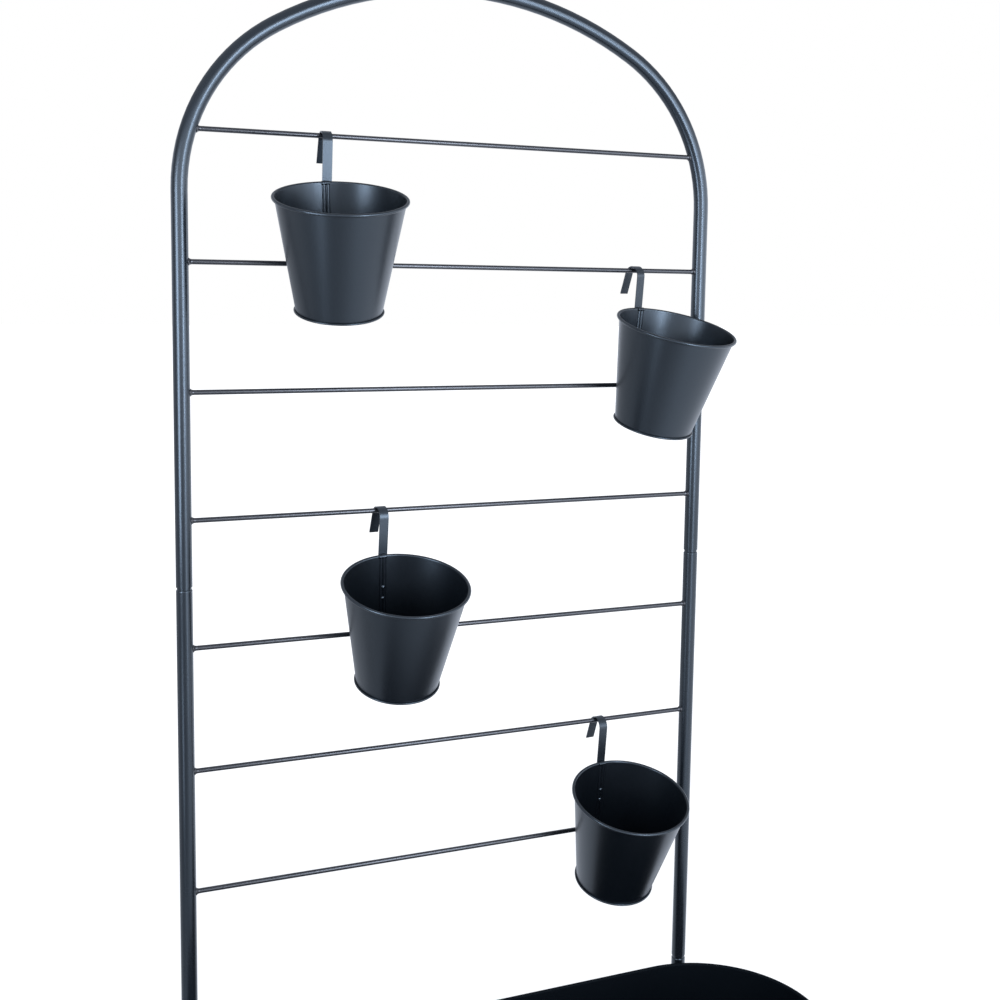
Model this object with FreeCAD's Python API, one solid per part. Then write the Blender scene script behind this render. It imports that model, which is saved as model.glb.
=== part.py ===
import FreeCAD, Part
import math
import os

# Plant rack: a tubular arch frame with seven rungs, standing behind an oval sheet tub.
# Four tapered pots hang on the rungs by strap hooks and lean on the rung below.
# Millimetres. X runs along the rungs, the front is -Y, Z is up, and Z = 0 is the floor.

V = FreeCAD.Vector
X_AXIS = V(1, 0, 0)
Y_AXIS = V(0, 1, 0)
Z_AXIS = V(0, 0, 1)

# Frame
FRAME_SPAN = 681.0            # between the axes of the two uprights
TUBE_DIA = 19.0
TUBE_WALL = 1.0
RUNG_DIA = 6.0
RUNG_PITCH = 150.0
LOWEST_RUNG_OVER_RIM = 212.0  # lowest rung's axis above the tub's rim
UPPER_RUNGS = 4
LOWER_RUNGS = 3
ARCH_CORNER_R = 222.0         # bend at each shoulder of the arch, on the tube's axis
ARCH_CORNER_ANGLE = 60.0      # degrees of that bend, before the flatter crown begins
SPRING_BELOW_TOP_RUNG = 69.0  # where the legs end and the bend begins
WELD_LEG = 4.0                # length of the weld's hollow flare along the rung
WELD_THROAT = 1.8             # height of the flare on the rung

# Push joints: arch tube on the uprights, and uprights on the stubs behind the tub
JOINT_BELOW_RUNG = 78.0       # end of the arch tube below its lowest rung
UPRIGHT_OVER_RIM = 2.0        # lower end of the uprights above the tub's rim
JOINT_GROOVE = 3.0            # open groove between the tube's end and the shoulder
NECK_LENGTH = 45.0            # necked end inside the next tube
NECK_GRIP = 8.0               # length of the neck that fills the tube's bore
NECK_SLACK = 0.4              # radial play of the rest of the neck
SHOULDER_LENGTH = 2.5         # rounded shoulder between the full tube and the neck

# Feet of the stubs
PLUG_FLANGE = 3.0
PLUG_DEPTH = 15.0
PLUG_WALL = 2.0

# Tub
TUB_LENGTH = 892.0            # over the rim
TUB_DEPTH = 310.0             # over the rim
TUB_HEIGHT = 190.0
TUB_SHEET = 1.0
TUB_CURL = 2.0                # bend radius of the rolled rim, at the middle of the sheet
TUB_FLANGE = 2.0              # foot flange of the wall, gripped by the base's seam
TUB_BASE_LIFT = 8.0           # top of the base panel above the floor
RIM_TO_TUBE = 3.0             # clear gap between the tub's rim and the uprights

# Screws that hold the stubs to the tub
SCREW_DIA = 6.0
SCREW_PLAY = 0.3              # radial play in the holes
SCREW_HEAD_DIA = 10.5
SCREW_HEAD_HEIGHT = 3.3
SCREW_HEIGHTS = (45.0, 115.0)
PAD_DIA = 12.0                # shaped pads under the heads, the nuts and between tube and tub
PAD_LEAST = 1.5               # least thickness of a pad under a screw's head
NUT_PAD_LEAST = 4.0           # least thickness of a pad under a nut
NUT_FLATS = 10.0
NUT_HEIGHT = 5.0
NUT_DOME = 4.0
NUT_THREAD = 6.5              # length of screw inside the nut

# Pots
POT_RIM_DIA = 155.0           # over the curl
POT_FOOT_DIA = 105.0          # over the base seam
POT_HEIGHT = 135.0
POT_SHEET = 0.8
POT_CURL = 1.6
POT_FLANGE = 1.0
POT_BASE_LIFT = 6.0
SEAM_WIDTH = 10.0             # lock seam, on the inside of the rear wall
SEAM_HEIGHT = 1.5
SEAM_FOLD_R = 2.9             # round of the seam's two folds
SEAM_FOLDS_APART = 4.6        # between the crowns of the two folds
SEAM_SWELL = 0.8              # how much fatter the curl is where the seam is rolled into it

# Pot hooks
STRAP_WIDTH = 11.5
STRAP_THICKNESS = 1.5
STRAP_FOOT_DROP = 62.0        # lower end of the strap below the rim
STRAP_BEND_DROP = 30.0        # where the strap leaves the wall to clear the curl
STRAP_BEND_MOST = 35.0        # degrees, more than the strap leans anywhere beside the curl
HOOK_LEAN = 11.0              # degrees that the strap leans back above the rim
HOOK_RISE = 44.6              # start of the hook's bend above the rim
HOOK_BEND_R = 11.5            # inside the bend
HOOK_TAIL = 29.0              # straight rear leg
HOOK_TAIL_FLARE = 4.0         # degrees that the rear leg spreads
HOOK_SEAT_ANGLE = 36.0        # where the rung lies in the bend, behind the pot's own axis
HANG_PLAY = 0.35              # clear gap of a pot to the rungs that it touches
RIVET_DROPS = (39.0, 53.0)    # below the rim
RIVET_DIA = 3.2
RIVET_HEAD_DIA = 5.6
RIVET_HEAD_HEIGHT = 1.0

# Where each pot hangs: X of its hook
POT_1_ALONG = -171.8
POT_2_ALONG = 241.9
POT_3_ALONG = -103.2
POT_4_ALONG = 204.0
# Each pot's rung counted from the top, its hook's X and its turn on the rung in degrees, and how
# its shell is riveted to the strap: degrees askew about the rivets, and how far up the strap
POT_PLACES = (
    (1, POT_1_ALONG, -1.3, -3.3, 1.4),
    (2, POT_2_ALONG, 12.3, 1.5, 6.2),
    (4, POT_3_ALONG, 5.6, -2.2, 1.6),
    (6, POT_4_ALONG, 5.7, -0.4, 0.0),
)

# Heights and depths that follow from the sizes above
tube_r = TUBE_DIA / 2
bore_r = tube_r - TUBE_WALL
rung_r = RUNG_DIA / 2
half_span = FRAME_SPAN / 2

lower_heights = [TUB_HEIGHT + LOWEST_RUNG_OVER_RIM + i * RUNG_PITCH for i in range(LOWER_RUNGS)]
first_upper = lower_heights[-1] + RUNG_PITCH + JOINT_GROOVE
upper_heights = [first_upper + i * RUNG_PITCH for i in range(UPPER_RUNGS)]
rung_heights = list(reversed(lower_heights + upper_heights))
arch_end = first_upper - JOINT_BELOW_RUNG
upright_end = TUB_HEIGHT + UPRIGHT_OVER_RIM
spring = rung_heights[0] - SPRING_BELOW_TOP_RUNG

back_of_tube = tube_r + PAD_LEAST + SCREW_HEAD_HEIGHT
front_of_tube = tube_r + RIM_TO_TUBE + TUB_DEPTH
rack_y = (front_of_tube - back_of_tube) / 2
tub_y = rack_y - tube_r - RIM_TO_TUBE - TUB_DEPTH / 2


def point(place):
    """A point (radius, height) of a profile, in the X-Z plane."""
    return V(place[0], 0, place[1])


def profile(start, *steps):
    """A closed face in the X-Z plane. A step is a point, or (through, end) for an arc."""
    edges = []
    here = point(start)
    for step in steps + (start,):
        if isinstance(step[0], tuple):
            end = point(step[1])
            edges.append(Part.Arc(here, point(step[0]), end).toShape())
        else:
            end = point(step)
            edges.append(Part.makeLine(here, end))
        here = end
    return Part.Face(Part.Wire(edges))


def around(centre, radius, degrees):
    """The point of a profile at an angle on a circle, counted from the outward direction."""
    angle = math.radians(degrees)
    return (centre[0] + radius * math.cos(angle), centre[1] + radius * math.sin(angle))


def dome_middle(radius, height):
    """A point half way up a round dome of the given foot radius and height."""
    ball = (radius ** 2 + height ** 2) / (2 * height)
    half = math.asin(radius / ball) / 2
    return (ball * math.sin(half), height - ball * (1 - math.cos(half)))


def turned(face):
    """A full turn of a profile about the Z axis."""
    return face.revolve(V(0, 0, 0), Z_AXIS, 360)


def along_y(radius, x, y, z, length):
    """A bar along +Y from the given place."""
    return Part.makeCylinder(radius, length, V(x, y, z), Y_AXIS)


os.makedirs("parts", exist_ok=True)


def write(name, shape):
    shape.exportStep("parts/" + name + ".step")


class SheetWall:
    """Profile of a sheet wall: foot flange, straight or tapered side and outward curled rim."""

    CURL_TURN = 280.0

    def __init__(self, rim_r, height, sheet, curl, flange, foot_r=None):
        """A wall with no foot_r, the radius over its base seam, stands straight up."""
        self.sheet = sheet
        self.curl = curl
        self.curl_r = curl + sheet / 2
        self.curl_centre = (rim_r - self.curl_r, height - self.curl_r)
        self.foot_z = 2 * sheet
        seam = flange + 1.5 * sheet
        self.foot_r = foot_r - seam if foot_r else rim_r - 2 * curl
        self.flange_r = self.foot_r + flange
        run = self.curl_centre[0] - self.foot_r
        rise = self.curl_centre[1] - self.foot_z
        inner_curl = curl - sheet / 2
        self.lean = math.atan2(run, rise) - math.asin(inner_curl / math.hypot(run, rise))

    def outer(self, z):
        return self.foot_r + (z - self.foot_z) * math.tan(self.lean)

    def inner(self, z):
        return self.outer(z) - self.sheet / math.cos(self.lean)

    def wall_face(self):
        sheet = self.sheet
        inner_curl = self.curl - sheet / 2
        first = 180 - math.degrees(self.lean)
        middle = first - self.CURL_TURN / 2
        last = first - self.CURL_TURN
        centre = self.curl_centre
        return profile(
            (self.inner(sheet), sheet),
            (self.flange_r, sheet),
            (self.flange_r, self.foot_z),
            (self.foot_r, self.foot_z),
            around(centre, inner_curl, first),
            (around(centre, inner_curl, middle), around(centre, inner_curl, last)),
            around(centre, self.curl_r, last),
            (around(centre, self.curl_r, middle), around(centre, self.curl_r, first)),
        )

    def base_face(self, lift):
        """Base panel with a side that fits the wall and a seam folded round its flange."""
        sheet = self.sheet
        lap = self.foot_r + sheet / 2
        bead = self.flange_r
        return profile(
            (0, lift),
            (self.inner(lift), lift),
            (self.inner(sheet), sheet),
            (self.flange_r, sheet),
            (self.flange_r, self.foot_z),
            (lap, self.foot_z),
            (lap, 3 * sheet),
            (bead, 3 * sheet),
            ((bead + 1.5 * sheet, 1.5 * sheet), (bead, 0)),
            (self.inner(0) - sheet, 0),
            (self.inner(lift - sheet) - sheet, lift - sheet),
            (0, lift - sheet),
        )


# Arch tube: one length of tube, bent at both shoulders and over the crown.

def arch_bar(radius, overrun=0.0):
    crown_r = ARCH_CORNER_R + (half_span - ARCH_CORNER_R) / math.cos(math.radians(ARCH_CORNER_ANGLE))
    drop = (crown_r - ARCH_CORNER_R) * math.sin(math.radians(ARCH_CORNER_ANGLE))
    left_centre = V(ARCH_CORNER_R - half_span, rack_y, spring)
    crown_centre = V(0, rack_y, spring - drop)
    right_centre = V(half_span - ARCH_CORNER_R, rack_y, spring)
    crown_turn = 180 - 2 * ARCH_CORNER_ANGLE
    section = Part.Face(Part.Wire(Part.makeCircle(radius, V(-half_span, rack_y, spring), Z_AXIS)))
    pieces = []
    for centre, turn in (
        (left_centre, ARCH_CORNER_ANGLE),
        (crown_centre, crown_turn),
        (right_centre, ARCH_CORNER_ANGLE),
    ):
        pieces.append(section.revolve(centre, Y_AXIS, turn))
        section = section.copy()
        section.rotate(centre, Y_AXIS, turn)
    low = arch_end - overrun
    for x in (-half_span, half_span):
        pieces.append(Part.makeCylinder(radius, spring - low, V(x, rack_y, low)))
    return pieces[0].multiFuse(pieces[1:]).removeSplitter()


arch_outside = arch_bar(tube_r)
write("arch_tube", arch_outside.cut(arch_bar(bore_r, overrun=TUBE_WALL)))


# Uprights and stubs: tubes with a necked top that the next tube up is pushed on to. The stubs
# stand behind the tub and are drilled for the screws that hold them to it.

def necked_tube(low, next_low):
    """A tube from a height to the open lower end of the next tube, with its neck inside that."""
    shoulder_top = next_low - JOINT_GROOVE
    shoulder_foot = shoulder_top - SHOULDER_LENGTH
    neck_r = bore_r - NECK_SLACK
    grip_top = next_low + NECK_GRIP
    neck_top = next_low + NECK_LENGTH
    lead = NECK_SLACK + TUBE_WALL / 2
    diagonal = math.sin(math.radians(45))
    on_shoulder = (bore_r + TUBE_WALL * diagonal, shoulder_foot + SHOULDER_LENGTH * diagonal)
    edge = TUBE_WALL / 2
    on_edge = (tube_r - edge * (1 - diagonal), low + edge * (1 - diagonal))
    return turned(profile(
        (bore_r, low),
        (tube_r - edge, low),
        (on_edge, (tube_r, low + edge)),
        (tube_r, shoulder_foot),
        (on_shoulder, (bore_r, shoulder_top)),
        (bore_r, grip_top),
        (neck_r, grip_top + NECK_SLACK),
        (neck_r, neck_top - lead),
        (neck_r - lead, neck_top),
        (neck_r - TUBE_WALL, neck_top),
        (neck_r - TUBE_WALL, shoulder_foot),
        (bore_r, shoulder_foot - SHOULDER_LENGTH),
    ))


screw_hole_r = SCREW_DIA / 2 + SCREW_PLAY
screw_places = [(x, z) for x in (-half_span, half_span) for z in SCREW_HEIGHTS]

for side, x in (("left", -half_span), ("right", half_span)):
    upright = necked_tube(upright_end, arch_end)
    upright.translate(V(x, rack_y, 0))
    write(side + "_upright", upright)
    stub = necked_tube(PLUG_FLANGE, upright_end)
    stub.translate(V(x, rack_y, 0))
    for z in SCREW_HEIGHTS:
        stub = stub.cut(along_y(screw_hole_r, x, rack_y - TUBE_DIA, z, 2 * TUBE_DIA))
    write(side + "_stub", stub)


# Foot plugs: hollow push-in plugs that close the open lower ends of the stubs.

def foot_plug(x):
    plug = turned(profile(
        (0, 0),
        (tube_r - TUBE_WALL / 2, 0),
        (tube_r, TUBE_WALL / 2),
        (tube_r, PLUG_FLANGE),
        (bore_r, PLUG_FLANGE),
        (bore_r, PLUG_FLANGE + PLUG_DEPTH),
        (bore_r - PLUG_WALL, PLUG_FLANGE + PLUG_DEPTH),
        (bore_r - PLUG_WALL, PLUG_FLANGE),
        (0, PLUG_FLANGE),
    ))
    plug.translate(V(x, rack_y, 0))
    return plug


write("foot_plugs", Part.makeCompound([foot_plug(-half_span), foot_plug(half_span)]))


# Rungs: round bars, coped to the tubes and welded to them with a small flare at each end.

lower_outside = Part.makeCompound([
    Part.makeCylinder(tube_r, arch_end, V(-half_span, rack_y, 0)),
    Part.makeCylinder(tube_r, arch_end, V(half_span, rack_y, 0)),
])


def leg_offset(z):
    """How far the tube's axis has bent inward at a height."""
    above = max(z - spring, 0)
    return ARCH_CORNER_R - math.sqrt(ARCH_CORNER_R ** 2 - above ** 2)


def rung(z, tubes):
    reach = half_span - leg_offset(z)
    flare_start = reach - tube_r - WELD_LEG
    flare_r = (WELD_LEG ** 2 + WELD_THROAT ** 2) / (2 * WELD_THROAT)
    half_turn = math.asin(WELD_LEG / flare_r) / 2
    on_flare = rung_r + flare_r * (1 - math.cos(half_turn))
    half_flare = flare_start + flare_r * math.sin(half_turn)
    weld_r = rung_r + WELD_THROAT
    bar = turned(profile(
        (0, -reach),
        (weld_r, -reach),
        (weld_r, -flare_start - WELD_LEG),
        ((on_flare, -half_flare), (rung_r, -flare_start)),
        (rung_r, flare_start),
        ((on_flare, half_flare), (weld_r, flare_start + WELD_LEG)),
        (weld_r, reach),
        (0, reach),
    ))
    bar.rotate(V(0, 0, 0), Y_AXIS, 90)
    bar.translate(V(0, rack_y, z))
    solids = bar.cut(tubes).Solids
    return max(solids, key=lambda solid: solid.Volume)


for number, z in enumerate(rung_heights, start=1):
    tubes = arch_outside if number <= UPPER_RUNGS else lower_outside
    write("rung_%d" % number, rung(z, tubes))


# Tub: an oval wall, two straights and two half rounds, with its base seamed to the wall's foot.

tub = SheetWall(TUB_DEPTH / 2, TUB_HEIGHT, TUB_SHEET, TUB_CURL, TUB_FLANGE)
tub_straight = TUB_LENGTH - TUB_DEPTH


def oval(face):
    """Carry a profile round the oval of the tub."""
    pieces = []
    for turn in (-90, 90):
        end = face.copy()
        end.rotate(V(0, 0, 0), Z_AXIS, turn)
        side = end.copy()
        side.translate(V(-tub_straight / 2, 0, 0))
        pieces.append(side.extrude(V(tub_straight, 0, 0)))
        half_round = end.revolve(V(0, 0, 0), Z_AXIS, 180)
        half_round.translate(V(-math.copysign(tub_straight / 2, turn), 0, 0))
        pieces.append(half_round)
    shape = pieces[0].multiFuse(pieces[1:]).removeSplitter()
    shape.translate(V(0, tub_y, 0))
    return shape


def oval_block(radius):
    """A solid block inside the oval of the given end radius."""
    return oval(profile((0, 0), (radius, 0), (radius, TUB_HEIGHT), (0, TUB_HEIGHT)))


def oval_back(x, radius):
    """How far back an oval of the given end radius reaches at X."""
    past = max(abs(x) - tub_straight / 2, 0)
    return tub_y + math.sqrt(radius ** 2 - past ** 2)


tub_outside = oval_block(tub.outer(0))
tub_inside = oval_block(tub.inner(0))

tub_wall = oval(tub.wall_face())
for x, z in screw_places:
    tub_wall = tub_wall.cut(along_y(screw_hole_r, x, tub_y, z, TUB_DEPTH))
write("tub_wall", tub_wall)
write("tub_base", oval(tub.base_face(TUB_BASE_LIFT)))


# Fixings: button head screws through each stub and the tub's wall. Pads that fit the round
# tube and the round wall lie under the head, between tube and tub, and under the dome nut.

pad_r = PAD_DIA / 2
nut_face = oval_back(half_span + pad_r, tub.inner(0)) - NUT_PAD_LEAST
screw_tip = nut_face - NUT_THREAD
head_seat = rack_y + tube_r + PAD_LEAST


def screw(x, z):
    head_r = SCREW_HEAD_DIA / 2
    shank = head_seat - screw_tip
    through = dome_middle(head_r, SCREW_HEAD_HEIGHT)
    body = turned(profile(
        (0, 0),
        (SCREW_DIA / 2, 0),
        (SCREW_DIA / 2, shank),
        (head_r, shank),
        ((through[0], shank + through[1]), (0, shank + SCREW_HEAD_HEIGHT)),
    ))
    body.rotate(V(0, 0, 0), X_AXIS, -90)
    body.translate(V(x, screw_tip, z))
    return body


def pad(x, z, start, end):
    """A drilled round pad along Y."""
    disc = along_y(pad_r, x, start, z, end - start)
    return disc.cut(along_y(screw_hole_r, x, start, z, end - start))


def tube_at(x):
    return Part.makeCylinder(tube_r, TUB_HEIGHT, V(x, rack_y, 0))


def head_pad(x, z):
    return pad(x, z, rack_y + pad_r, head_seat).cut(tube_at(x))


def spacer_pad(x, z):
    front = oval_back(half_span + pad_r, tub.inner(0))
    return pad(x, z, front, rack_y - pad_r).cut(tube_at(x)).cut(tub_outside)


def nut_pad(x, z):
    return pad(x, z, nut_face, rack_y).common(tub_inside)


def dome_nut(x, z):
    sides = 6
    corner_r = NUT_FLATS / 2 / math.cos(math.pi / sides)
    angles = [2 * math.pi * i / sides for i in range(sides + 1)]
    corners = [V(corner_r * math.cos(angle), 0, corner_r * math.sin(angle)) for angle in angles]
    hexagon = Part.Face(Part.makePolygon(corners)).extrude(V(0, -NUT_HEIGHT, 0))
    dome_r = NUT_FLATS / 2
    dome = turned(profile((0, 0), (dome_r, 0), (dome_middle(dome_r, NUT_DOME), (0, NUT_DOME))))
    dome.rotate(V(0, 0, 0), X_AXIS, 90)
    dome.translate(V(0, -NUT_HEIGHT, 0))
    nut = hexagon.fuse(dome).removeSplitter()
    nut.translate(V(x, nut_face, z))
    return nut.cut(along_y(SCREW_DIA / 2, x, screw_tip, z, NUT_THREAD))


for name, make in (
    ("stub_screws", screw),
    ("head_pads", head_pad),
    ("spacer_pads", spacer_pad),
    ("nut_pads", nut_pad),
    ("dome_nuts", dome_nut),
):
    write(name, Part.makeCompound([make(x, z) for x, z in screw_places]))


# Pots, made upright on their own axis with the rear wall at +Y, and then hung on the rungs.

pot = SheetWall(POT_RIM_DIA / 2, POT_HEIGHT, POT_SHEET, POT_CURL, POT_FLANGE, POT_FOOT_DIA / 2)


def moved(place, direction, distance):
    return (place[0] + direction[0] * distance, place[1] + direction[1] * distance)


def upward(lean):
    """Direction up a wall or strap that leans outward by an angle in radians."""
    return (math.sin(lean), math.cos(lean))


def outward(lean):
    return (math.cos(lean), -math.sin(lean))


wall_out = outward(pot.lean)


def to_rear(shape):
    """Turn a shape made on +X to the rear of the pot."""
    shape.rotate(V(0, 0, 0), Z_AXIS, 90)
    return shape


def rivet_axis(drop):
    """Where a rivet crosses the wall's outer face."""
    z = POT_HEIGHT - drop
    return (pot.outer(z), z)


def rivet_hole(drop):
    """A bar through the rear wall, the seam and the strap."""
    reach = POT_SHEET + SEAM_HEIGHT + STRAP_THICKNESS
    low = moved(rivet_axis(drop), wall_out, -reach)
    bar = Part.makeCylinder(RIVET_DIA / 2, 2 * reach, point(low), V(wall_out[0], 0, wall_out[1]))
    return to_rear(bar)


def rivet_holes():
    return Part.makeCompound([rivet_hole(drop) for drop in RIVET_DROPS])


def seam_folds():
    """Lock seam: two round folds side by side, up the inside of the rear wall."""
    low = POT_BASE_LIFT + POT_SHEET
    length = (pot.curl_centre[1] - low) / math.cos(pot.lean)
    inner_face = -(POT_SHEET + SEAM_HEIGHT)
    first, second = [
        Part.makeCylinder(SEAM_FOLD_R, length, V(inner_face + SEAM_FOLD_R, side * SEAM_FOLDS_APART / 2, 0))
        for side in (-1, 1)
    ]
    corner = V(inner_face, -SEAM_WIDTH / 2, 0)
    within_wall = Part.makeBox(SEAM_HEIGHT + POT_SHEET / 2, SEAM_WIDTH, length, corner)
    seam = first.fuse(second).common(within_wall)
    seam.rotate(V(0, 0, 0), Y_AXIS, math.degrees(pot.lean))
    seam.translate(point((pot.outer(low), low)))
    return to_rear(seam)


def curl_swell():
    """The fatter place of the curl, rounded at both ends and kept off the strap."""
    fat_r = pot.curl_r + SEAM_SWELL
    inset = SEAM_SWELL / math.cos(math.radians(STRAP_BEND_MOST))
    centre = moved(pot.curl_centre, (-1, 0), inset)
    reach = math.asin(SEAM_WIDTH / 2 / centre[0])
    disc = Part.Face(Part.Wire(Part.makeCircle(fat_r, point(centre), Y_AXIS)))
    roll = disc.revolve(V(0, 0, 0), Z_AXIS, math.degrees(2 * reach))
    end_edges = [
        edge for edge in roll.Edges
        if isinstance(edge.Curve, Part.Circle) and edge.Curve.Radius < 2 * fat_r
    ]
    roll = roll.makeFillet(SEAM_SWELL, end_edges)
    roll.rotate(V(0, 0, 0), Z_AXIS, -math.degrees(reach))
    return to_rear(roll)


def pot_shell():
    """Wall with its lock seam, which is rolled into the curl at its top."""
    return turned(pot.wall_face()).fuse(seam_folds()).fuse(curl_swell())


def rivet(drop):
    """Shank with a domed head inside on the seam and another outside on the strap."""
    inside = -(POT_SHEET + SEAM_HEIGHT)
    outside = STRAP_THICKNESS
    head_r = RIVET_HEAD_DIA / 2
    through = dome_middle(head_r, RIVET_HEAD_HEIGHT)
    body = turned(profile(
        (0, inside - RIVET_HEAD_HEIGHT),
        ((through[0], inside - through[1]), (head_r, inside)),
        (RIVET_DIA / 2, inside),
        (RIVET_DIA / 2, outside),
        (head_r, outside),
        ((through[0], outside + through[1]), (0, outside + RIVET_HEAD_HEIGHT)),
    ))
    body.rotate(V(0, 0, 0), Y_AXIS, 90 + math.degrees(pot.lean))
    body.translate(point(rivet_axis(drop)))
    return to_rear(body)


class Hook:
    """Strap hook: flat on the rear wall, bent round the curl and over the rung."""

    def __init__(self):
        foot_z = POT_HEIGHT - STRAP_FOOT_DROP
        bend_z = POT_HEIGHT - STRAP_BEND_DROP
        foot = (pot.outer(foot_z), foot_z)
        bend = (pot.outer(bend_z), bend_z)
        to_curl = (pot.curl_centre[0] - bend[0], pot.curl_centre[1] - bend[1])
        rising = math.atan2(*to_curl) + math.asin(pot.curl_r / math.hypot(*to_curl))
        self.lean = math.radians(HOOK_LEAN)
        on_curl = pot.curl_r / math.cos((rising - self.lean) / 2)
        over_curl = moved(pot.curl_centre, outward((rising + self.lean) / 2), on_curl)
        leg = (POT_HEIGHT + HOOK_RISE - over_curl[1]) / math.cos(self.lean)
        top = moved(over_curl, upward(self.lean), leg)
        self.centre = moved(top, outward(self.lean), STRAP_THICKNESS + HOOK_BEND_R)
        self.front_face = (foot, bend, over_curl, top)
        self.front_leans = (pot.lean, rising, self.lean)

    def rear_face(self):
        """The strap's other face, from the hook's bend down to the foot."""
        leans = self.front_leans[:1] + self.front_leans + self.front_leans[-1:]
        corners = []
        for corner, below, above in zip(self.front_face, leans, leans[1:]):
            across = STRAP_THICKNESS / math.cos((above - below) / 2)
            corners.append(moved(corner, outward((above + below) / 2), across))
        return tuple(reversed(corners[:-1]))

    def solid(self):
        outer_r = HOOK_BEND_R + STRAP_THICKNESS
        flare = math.radians(HOOK_TAIL_FLARE)
        first = 180 - HOOK_LEAN
        last = HOOK_TAIL_FLARE
        middle = (first + last) / 2
        down = (math.sin(flare), -math.cos(flare))
        tail_outer = around(self.centre, outer_r, last)
        tail_inner = around(self.centre, HOOK_BEND_R, last)
        face = profile(
            *self.front_face,
            (around(self.centre, outer_r, middle), tail_outer),
            moved(tail_outer, down, HOOK_TAIL),
            moved(tail_inner, down, HOOK_TAIL),
            tail_inner,
            (around(self.centre, HOOK_BEND_R, middle), around(self.centre, HOOK_BEND_R, first)),
            *self.rear_face(),
        )
        strap = face.extrude(V(0, STRAP_WIDTH, 0))
        strap.translate(V(0, -STRAP_WIDTH / 2, 0))
        return to_rear(strap).cut(rivet_holes())

    def rung_seat(self, turn, tilt):
        """Place of the rung's axis in the pot's own (rear, up) plane, clear of a turned strap."""
        room = HOOK_BEND_R - rung_r - HANG_PLAY
        seat = (math.sin(math.radians(HOOK_SEAT_ANGLE)), math.cos(math.radians(HOOK_SEAT_ANGLE)))
        slant = math.tan(turn) * STRAP_WIDTH / 2
        across = (slant * math.cos(tilt), -slant * math.sin(tilt))
        shared = abs(seat[0] * across[0] + seat[1] * across[1])
        reach = math.sqrt(shared ** 2 + room ** 2 - slant ** 2) - shared
        return moved(self.centre, seat, reach)


hook = Hook()


def hung(hook_x, rung_z, turn, tilt):
    """Placement of a pot whose hook lies on a rung, for a turn and a tilt in radians."""
    seat = hook.rung_seat(turn, tilt)
    spin = FreeCAD.Rotation(Z_AXIS, math.degrees(turn)).multiply(
        FreeCAD.Rotation(X_AXIS, math.degrees(tilt)))
    place = V(hook_x, rack_y, rung_z) - spin.multVec(V(0, seat[0], seat[1]))
    return FreeCAD.Placement(place, spin)


def on_strap(askew, slide):
    """Placement of a shell on its strap, turned about the rivets and slid up along the wall."""
    middle = rivet_axis(sum(RIVET_DROPS) / len(RIVET_DROPS))
    along = upward(pot.lean)
    slid = FreeCAD.Placement(V(0, along[0], along[1]) * slide, FreeCAD.Rotation())
    spin = FreeCAD.Rotation(V(0, wall_out[0], wall_out[1]), askew)
    return slid.multiply(FreeCAD.Placement(V(0, 0, 0), spin, V(0, middle[0], middle[1])))


MOST_TILT = 45.0              # degrees
HALVINGS = 40
RUNG_SAMPLES = 200            # places along a rung at which its gap to a pot is measured


def gap_to_rung(placement, hook_x, rung_z):
    """Least gap between the pot's wall and a rung behind it."""
    back = placement.inverse()
    reach = POT_RIM_DIA / 2
    gaps = []
    for i in range(RUNG_SAMPLES + 1):
        x = hook_x - reach + 2 * reach * i / RUNG_SAMPLES
        spot = back.multVec(V(x, rack_y, rung_z))
        gaps.append((math.hypot(spot.x, spot.y) - pot.outer(spot.z)) * math.cos(pot.lean))
    return min(gaps) - rung_r


def leaning(hook_x, rung_z, next_z, turn, mount):
    """Tilt the pot until its wall comes to the rung below, by halving the range of tilts."""
    upright, toppled = 0.0, math.radians(MOST_TILT)
    for _ in range(HALVINGS):
        tilt = (upright + toppled) / 2
        shell_place = hung(hook_x, rung_z, turn, tilt).multiply(mount)
        if gap_to_rung(shell_place, hook_x, next_z) > HANG_PLAY:
            upright = tilt
        else:
            toppled = tilt
    return hung(hook_x, rung_z, turn, upright)


for number, (rung_number, hook_x, turn, askew, slide) in enumerate(POT_PLACES, start=1):
    mount = on_strap(askew, slide)
    placement = leaning(hook_x, rung_heights[rung_number - 1], rung_heights[rung_number],
                        math.radians(turn), mount)
    shell = pot_shell()
    shell.Placement = mount.multiply(shell.Placement)
    base = turned(pot.base_face(POT_BASE_LIFT))
    base.Placement = mount.multiply(base.Placement)
    pieces = {
        "shell": shell.cut(rivet_holes()),
        "base": base,
        "hook": hook.solid(),
        "rivets": Part.makeCompound([rivet(drop) for drop in RIVET_DROPS]),
    }
    for piece, shape in pieces.items():
        shape.Placement = placement.multiply(shape.Placement)
        write("pot_%d_%s" % (number, piece), shape)
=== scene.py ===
import math

import bpy
from mathutils import Matrix, Vector

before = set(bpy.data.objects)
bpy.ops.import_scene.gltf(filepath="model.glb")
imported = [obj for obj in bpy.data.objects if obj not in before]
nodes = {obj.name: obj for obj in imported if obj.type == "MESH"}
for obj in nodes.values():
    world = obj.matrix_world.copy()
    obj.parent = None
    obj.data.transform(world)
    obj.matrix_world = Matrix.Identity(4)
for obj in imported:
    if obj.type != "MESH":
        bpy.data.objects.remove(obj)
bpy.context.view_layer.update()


# Frame tubes: the bent arch, the two uprights and the stubs behind the tub. Drawn steel tube
# with a satin anthracite powder coat, which flows out to a fine peel and keeps a bluish sheen.

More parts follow.
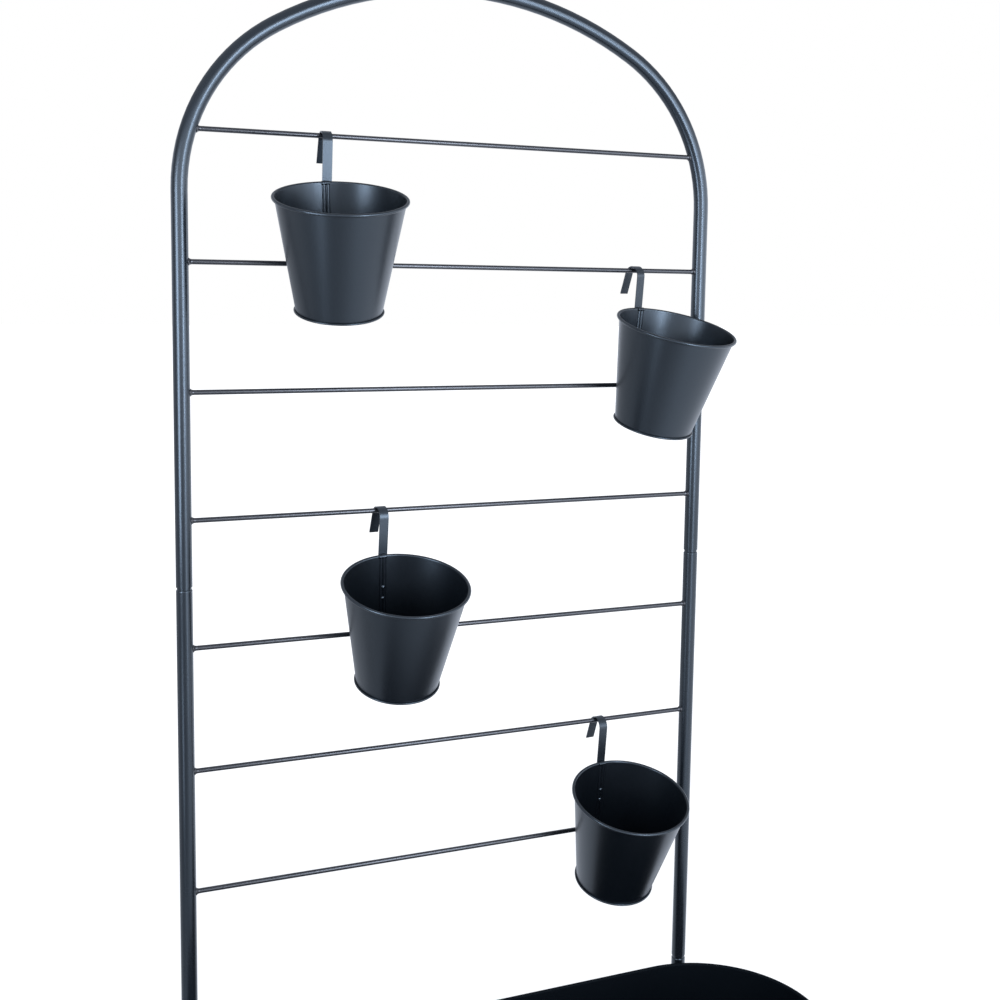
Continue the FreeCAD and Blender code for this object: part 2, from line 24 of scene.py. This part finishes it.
class Value:
    """An output of a node, which Python's operators turn into Math nodes."""

    def __init__(self, tree, socket):
        self.tree = tree
        self.socket = socket

    def node(self, kind, settings, inputs, output=0):
        """Add a node: its settings first, then the values or links of its sockets."""
        made = self.tree.nodes.new(kind)
        for name, setting in settings.items():
            setattr(made, name, setting)
        for key, given in inputs.items():
            if isinstance(given, Value):
                self.tree.links.new(given.socket, made.inputs[key])
            else:
                made.inputs[key].default_value = given
        return Value(self.tree, made.outputs[output])

    def math(self, operation, first, second):
        return self.node("ShaderNodeMath", {"operation": operation}, {0: first, 1: second})

    def __add__(self, other):
        return self.math("ADD", self, other)

    def __radd__(self, other):
        return self.math("ADD", other, self)

    def __sub__(self, other):
        return self.math("SUBTRACT", self, other)

    def __rsub__(self, other):
        return self.math("SUBTRACT", other, self)

    def __mul__(self, other):
        return self.math("MULTIPLY", self, other)

    def __rmul__(self, other):
        return self.math("MULTIPLY", other, self)

    def noise(self, scale, detail=2.0):
        """A noise of about this many grains to the metre, on these coordinates."""
        return self.node("ShaderNodeTexNoise", {}, {"Vector": self, "Scale": scale, "Detail": detail})

    def bump(self, strength, depth):
        """A normal that takes this value as the height of the surface."""
        return self.node(
            "ShaderNodeBump", {}, {"Strength": strength, "Distance": depth, "Height": self})

    def along(self, axis):
        """The X, Y or Z of these coordinates."""
        return self.node("ShaderNodeSeparateXYZ", {}, {0: self}, output=axis)

    def tinted(self, colour, plus=(0.0, 0.0, 0.0)):
        """This value times a colour, plus another colour."""
        return self.node(
            "ShaderNodeVectorMath", {"operation": "MULTIPLY_ADD"}, {0: self, 1: colour, 2: plus})

    def between(self, low, high):
        """A colour from low to high as this value goes from 0 to 1."""
        factor, first_colour, second_colour, mixed_colour = 0, 6, 7, 2
        return self.node(
            "ShaderNodeMix",
            {"data_type": "RGBA"},
            {factor: self, first_colour: low, second_colour: high},
            output=mixed_colour,
        )


def new_finish(name):
    """A material with its shader and the Object coordinates of the piece."""
    material = bpy.data.materials.new(name)
    material.use_nodes = True
    tree = material.node_tree
    shader = tree.nodes["Principled BSDF"]
    places = tree.nodes.new("ShaderNodeTexCoord")
    return material, shader, Value(tree, places.outputs["Object"])


def feed(shader, **values):
    """Link values that vary over the surface, and set the others on the shader itself."""
    for name, given in values.items():
        socket = shader.inputs[name.replace("_", " ")]
        if isinstance(given, Value):
            given.tree.links.new(given.socket, socket)
        else:
            socket.default_value = given


NOISE_MIDDLE = 0.5
COAT_CLOUD_SCALE = 9.0
COAT_CLOUD_DETAIL = 3.0
COAT_GRAIN_SCALE = 2400.0
COAT_PEEL_SCALE = 420.0
COAT_PEEL_DEPTH = 0.0004
PEEL_SHARE = 0.9
CLOUD_SHARE = 0.6
CLOUD_DULLING = 0.08
GRAIN_DULLING = 0.04
BLUISH_SHEEN = (0.78, 0.90, 1.0, 1.0)
NEUTRAL_SHEEN = (1.0, 0.98, 1.0, 1.0)


def powder_coat(
        name, dark, light, roughness, shine=0.94, bending=1.5, sheen=BLUISH_SHEEN, peel=0.008):
    """A flecked coat: shine and light bending set how much it mirrors, and sheen tints that."""
    material, shader, place = new_finish(name)
    clouds = place.noise(COAT_CLOUD_SCALE, detail=COAT_CLOUD_DETAIL)
    grains = place.noise(COAT_GRAIN_SCALE)
    waves = place.noise(COAT_PEEL_SCALE)
    height = waves * PEEL_SHARE + grains * (1.0 - PEEL_SHARE)
    mottle = clouds * CLOUD_SHARE + grains * (1.0 - CLOUD_SHARE)
    dulling = (clouds - NOISE_MIDDLE) * CLOUD_DULLING + (grains - NOISE_MIDDLE) * GRAIN_DULLING
    feed(
        shader,
        Base_Color=mottle.between(dark, light),
        Roughness=roughness + dulling,
        Normal=height.bump(peel, COAT_PEEL_DEPTH),
        Specular_IOR_Level=shine,
        Specular_Tint=sheen,
        IOR=bending,
    )
    return material


def coat(names, material):
    for name in names:
        nodes[name].material_slots[0].material = material


FRAME_DARK = (0.0038, 0.0050, 0.0075, 1)
FRAME_LIGHT = (0.0075, 0.0094, 0.0125, 1)
tube_coat = powder_coat("tube_powder_coat", FRAME_DARK, FRAME_LIGHT, roughness=0.27)
coat(("arch_tube", "left_upright", "right_upright", "left_stub", "right_stub"), tube_coat)


# Rungs: drawn round bar, coped to the tubes, welded and coated in one go with them. The coat
# lies smoother on the thin bars, and its sheen is not bluish there.

RUNGS = 7
rung_coat = powder_coat(
    "rung_powder_coat", FRAME_DARK, FRAME_LIGHT, roughness=0.28, shine=1.0, bending=1.51,
    sheen=NEUTRAL_SHEEN, peel=0.003)
coat(["rung_%d" % number for number in range(1, RUNGS + 1)], rung_coat)


# Tub: rolled and seamed steel sheet with a curled rim, coated inside and out in a duller coat. Its
# colour is painted darker than the pots', almost black, as painted shade for the shade in the tub.

# Painted shade: these near-black colours stand in for the shade that fills the tub.
TUB_SHADED_DARK = (0.0012, 0.0022, 0.0035, 1)
TUB_SHADED_LIGHT = (0.0025, 0.0038, 0.0055, 1)
tub_shaded_coat = powder_coat("tub_painted_shade_coat", TUB_SHADED_DARK, TUB_SHADED_LIGHT, roughness=0.62, shine=0.1)
coat(("tub_wall", "tub_base"), tub_shaded_coat)


# Fixings: blackened steel screws and dome nuts, with moulded plastic pads and foot plugs.

TARNISH_SCALE = 160.0
TARNISH_DETAIL = 4.0
TARNISH_DULLING = 0.12
SCRATCH_SCALE = 3000.0
SCRATCH_DULLING = 0.06
STEEL_DARK = (0.045, 0.046, 0.050, 1)
STEEL_LIGHT = (0.085, 0.087, 0.092, 1)
STEEL_ROUGHNESS = 0.32


def black_steel(name):
    material, shader, place = new_finish(name)
    tarnish = place.noise(TARNISH_SCALE, detail=TARNISH_DETAIL)
    scratches = place.noise(SCRATCH_SCALE)
    feed(
        shader,
        Base_Color=tarnish.between(STEEL_DARK, STEEL_LIGHT),
        Metallic=1.0,
        Roughness=STEEL_ROUGHNESS + tarnish * TARNISH_DULLING + scratches * SCRATCH_DULLING,
    )
    return material


MOULD_CLOUD_SCALE = 60.0
MOULD_GRAIN_SCALE = 1800.0
MOULD_GRAIN_STRENGTH = 0.25
MOULD_GRAIN_DEPTH = 0.0003
MOULD_GRAIN_DULLING = 0.12
PLASTIC_DARK = (0.012, 0.012, 0.013, 1)
PLASTIC_LIGHT = (0.020, 0.020, 0.021, 1)
PLASTIC_ROUGHNESS = 0.52


def moulded_plastic(name):
    material, shader, place = new_finish(name)
    clouds = place.noise(MOULD_CLOUD_SCALE)
    grain = place.noise(MOULD_GRAIN_SCALE)
    feed(
        shader,
        Base_Color=clouds.between(PLASTIC_DARK, PLASTIC_LIGHT),
        Roughness=PLASTIC_ROUGHNESS + grain * MOULD_GRAIN_DULLING,
        Normal=grain.bump(MOULD_GRAIN_STRENGTH, MOULD_GRAIN_DEPTH),
    )
    return material


coat(("stub_screws", "dome_nuts"), black_steel("blackened_steel"))
coat(("head_pads", "spacer_pads", "nut_pads", "foot_plugs"), moulded_plastic("black_moulding"))


# Pots: tapered sheet shells with a curled rim, a seamed base and a riveted strap hook. The coat
# is glossier on the flat straps, and painted a little lighter there as a painted highlight.

POTS = 4
POT_DARK = (0.0018, 0.0028, 0.0043, 1)
POT_LIGHT = (0.0038, 0.0050, 0.0070, 1)
pot_coat = powder_coat("pot_powder_coat", POT_DARK, POT_LIGHT, roughness=0.32)
# Painted highlight: the straps' colours are lighter than the pots' to stand in for the light they
# catch.
HOOK_HIGHLIGHT_DARK = (0.0030, 0.0040, 0.0058, 1)
HOOK_HIGHLIGHT_LIGHT = (0.0055, 0.0070, 0.0095, 1)
hook_highlight_coat = powder_coat(
    "hook_painted_highlight_coat", HOOK_HIGHLIGHT_DARK, HOOK_HIGHLIGHT_LIGHT, roughness=0.32, shine=1.0, bending=1.53)
for number in range(1, POTS + 1):
    coat(["pot_%d_%s" % (number, piece) for piece in ("shell", "base", "rivets")], pot_coat)
    coat(["pot_%d_hook" % number], hook_highlight_coat)


# Studio floor: a wide sheet that takes the object's soft shadow. Its white glow, which only the
# camera and reflections see, grows with the distance until the sheet runs into the background.
# Reflections see it dim on the left and brighter to the right and behind the rack.

def ramp(value, span, low, high):
    """A smooth change from low to high as a value crosses a span."""
    start, end = span
    return value.node(
        "ShaderNodeMapRange",
        {"interpolation_type": "SMOOTHSTEP"},
        {"Value": value, "From Min": start, "From Max": end, "To Min": low, "To Max": high},
    )


FLOOR_SIZE = 60.0
PAPER_SCALE = 3.0
PAPER_DARK = (0.34, 0.34, 0.34, 1)
PAPER_LIGHT = (0.36, 0.36, 0.36, 1)
PAPER_ROUGHNESS = 0.9
NEAR_GLOW = 0.80
FAR_GLOW = 1.0
GLOW_SPAN = (0.7, 2.2)
LEFT_MIRRORED = 0.08
RIGHT_MIRRORED = 0.82
MIRRORED_ACROSS = (-1.1, 1.5)
BEHIND_MIRRORED = 0.22
MIRRORED_BACK = (0.0, 0.6)
WHITE = (1.0, 1.0, 1.0)
COOL_WHITE = (0.93, 1.0, 1.14)

bpy.ops.mesh.primitive_plane_add(size=FLOOR_SIZE, location=(0, 0, 0))
floor = bpy.context.object
floor.name = "floor"
material, shader, place = new_finish("studio_floor")
paper = place.noise(PAPER_SCALE)
rays = place.tree.nodes.new("ShaderNodeLightPath")
seen = Value(place.tree, rays.outputs["Is Camera Ray"])
mirrored = Value(place.tree, rays.outputs["Is Glossy Ray"])
through = Value(place.tree, rays.outputs["Is Transmission Ray"])
distance = place.node("ShaderNodeVectorMath", {"operation": "LENGTH"}, {0: place}, output="Value")
across = ramp(place.along("X"), MIRRORED_ACROSS, LEFT_MIRRORED, RIGHT_MIRRORED)
toward_back = ramp(place.along("Y"), MIRRORED_BACK, 0.0, BEHIND_MIRRORED)
to_mirror = mirrored * (across + toward_back)
to_eye = (seen + through) * ramp(distance, GLOW_SPAN, NEAR_GLOW, FAR_GLOW)
feed(
    shader,
    Base_Color=paper.between(PAPER_DARK, PAPER_LIGHT),
    Roughness=PAPER_ROUGHNESS,
    Emission_Color=to_eye.tinted(WHITE, plus=to_mirror.tinted(COOL_WHITE)),
    Emission_Strength=1.0,
)
floor.data.materials.append(material)


# Studio light: a softbox on either side of the camera, each with a dim skirt below it, and a
# wide fill on the right. The room is pale in front of the rack, behind it and on its right, and
# dark on its left and overhead. The camera sees it as a white background.

SOFTBOX_WHITE = (0.70, 0.82, 1.0)


def softbox(name, place, aim, middle, width, height, watts):
    """An area light with its middle at this height, facing an aim at the same height."""
    light = bpy.data.lights.new(name, "AREA")
    light.shape = "RECTANGLE"
    light.size = width
    light.size_y = height
    light.energy = watts
    light.color = SOFTBOX_WHITE
    lamp = bpy.data.objects.new(name, light)
    bpy.context.scene.collection.objects.link(lamp)
    stand = Vector((*place, middle))
    facing = Vector((*aim, middle)) - stand
    lamp.location = stand
    lamp.rotation_euler = facing.to_track_quat("-Z", "Y").to_euler()


LEFT_STAND = (-1.00, -0.43)
LEFT_AIM = (-0.1, 0.15)
softbox("left_softbox", LEFT_STAND, LEFT_AIM, middle=1.02, width=0.34, height=0.70, watts=6.75)
softbox("left_skirt", LEFT_STAND, LEFT_AIM, middle=0.31, width=0.28, height=0.26, watts=0.55)

RIGHT_STAND = (0.36, -1.25)
FILL_STAND = (0.80, -1.00)
RIGHT_AIM = (0.0, 0.15)
softbox("right_softbox", RIGHT_STAND, RIGHT_AIM, middle=1.20, width=0.30, height=0.90, watts=10.8)
softbox("right_skirt", RIGHT_STAND, RIGHT_AIM, middle=0.45, width=0.45, height=0.60, watts=1.7)
softbox("right_fill", FILL_STAND, RIGHT_AIM, middle=1.20, width=0.55, height=0.90, watts=3.0)

FRONT_LEVEL = 2.3
FRONT_SPAN = (-0.5, 0.0)
FRONT_TOP = (0.05, 0.45)
BACK_LEVEL = 1.1
BACK_SPAN = (0.1, 0.6)
LEFT_LEVEL = 0.2
RIGHT_LEVEL = 2.0
SIDE_SPAN = (-0.6, 0.6)
WALL_TOP = (0.1, 0.45)
CEILING_LEVEL = 0.54
CEILING_SPAN = (0.05, 0.65)

world = bpy.data.worlds.new("studio")
bpy.context.scene.world = world
world.use_nodes = True
tree = world.node_tree
seen = Value(tree, tree.nodes.new("ShaderNodeLightPath").outputs["Is Camera Ray"])
around = Value(tree, tree.nodes.new("ShaderNodeTexCoord").outputs["Generated"])
to_right = around.along("X")
to_back = around.along("Y")
upward = around.along("Z")
in_front = ramp(to_back, FRONT_SPAN, 1.0, 0.0)
behind = ramp(to_back, BACK_SPAN, 0.0, 1.0)
beside = (1.0 - in_front) * (1.0 - behind) * ramp(to_right, SIDE_SPAN, LEFT_LEVEL, RIGHT_LEVEL)
front_wall = in_front * ramp(upward, FRONT_TOP, FRONT_LEVEL, 0.0)
other_walls = (behind * BACK_LEVEL + beside) * ramp(upward, WALL_TOP, 1.0, 0.0)
ceiling = ramp(upward, CEILING_SPAN, 0.0, CEILING_LEVEL)
room = (front_wall + other_walls + ceiling).tinted(COOL_WHITE)
level = seen.between(room, (*WHITE, 1.0))
tree.links.new(level.socket, tree.nodes["Background"].inputs["Color"])


# Camera: at the photograph's place, with its angle, lens and framing.

CAMERA_PLACE = (-0.57933, -1.40660, 1.13907)
CAMERA_PAN = -0.40874
CAMERA_PITCH = -0.11204
CAMERA_ROLL = -0.01636
LEVEL_LOOK = math.radians(90)
FOCAL_SHARE = 1.33062
PICTURE_MIDDLE = 0.5
MIDDLE_ACROSS = 0.52943
MIDDLE_DOWN = 0.43094

camera_data = bpy.data.cameras.new("camera")
camera_data.lens = FOCAL_SHARE * camera_data.sensor_width
camera_data.shift_x = PICTURE_MIDDLE - MIDDLE_ACROSS
camera_data.shift_y = MIDDLE_DOWN - PICTURE_MIDDLE
camera = bpy.data.objects.new("camera", camera_data)
bpy.context.scene.collection.objects.link(camera)
camera.matrix_world = (
    Matrix.Translation(CAMERA_PLACE)
    @ Matrix.Rotation(CAMERA_PAN, 4, "Z")
    @ Matrix.Rotation(CAMERA_PITCH, 4, "X")
    @ Matrix.Rotation(CAMERA_ROLL, 4, "Y")
    @ Matrix.Rotation(LEVEL_LOOK, 4, "X")
)
bpy.context.scene.camera = camera
bpy.context.scene.view_settings.view_transform = "Standard"
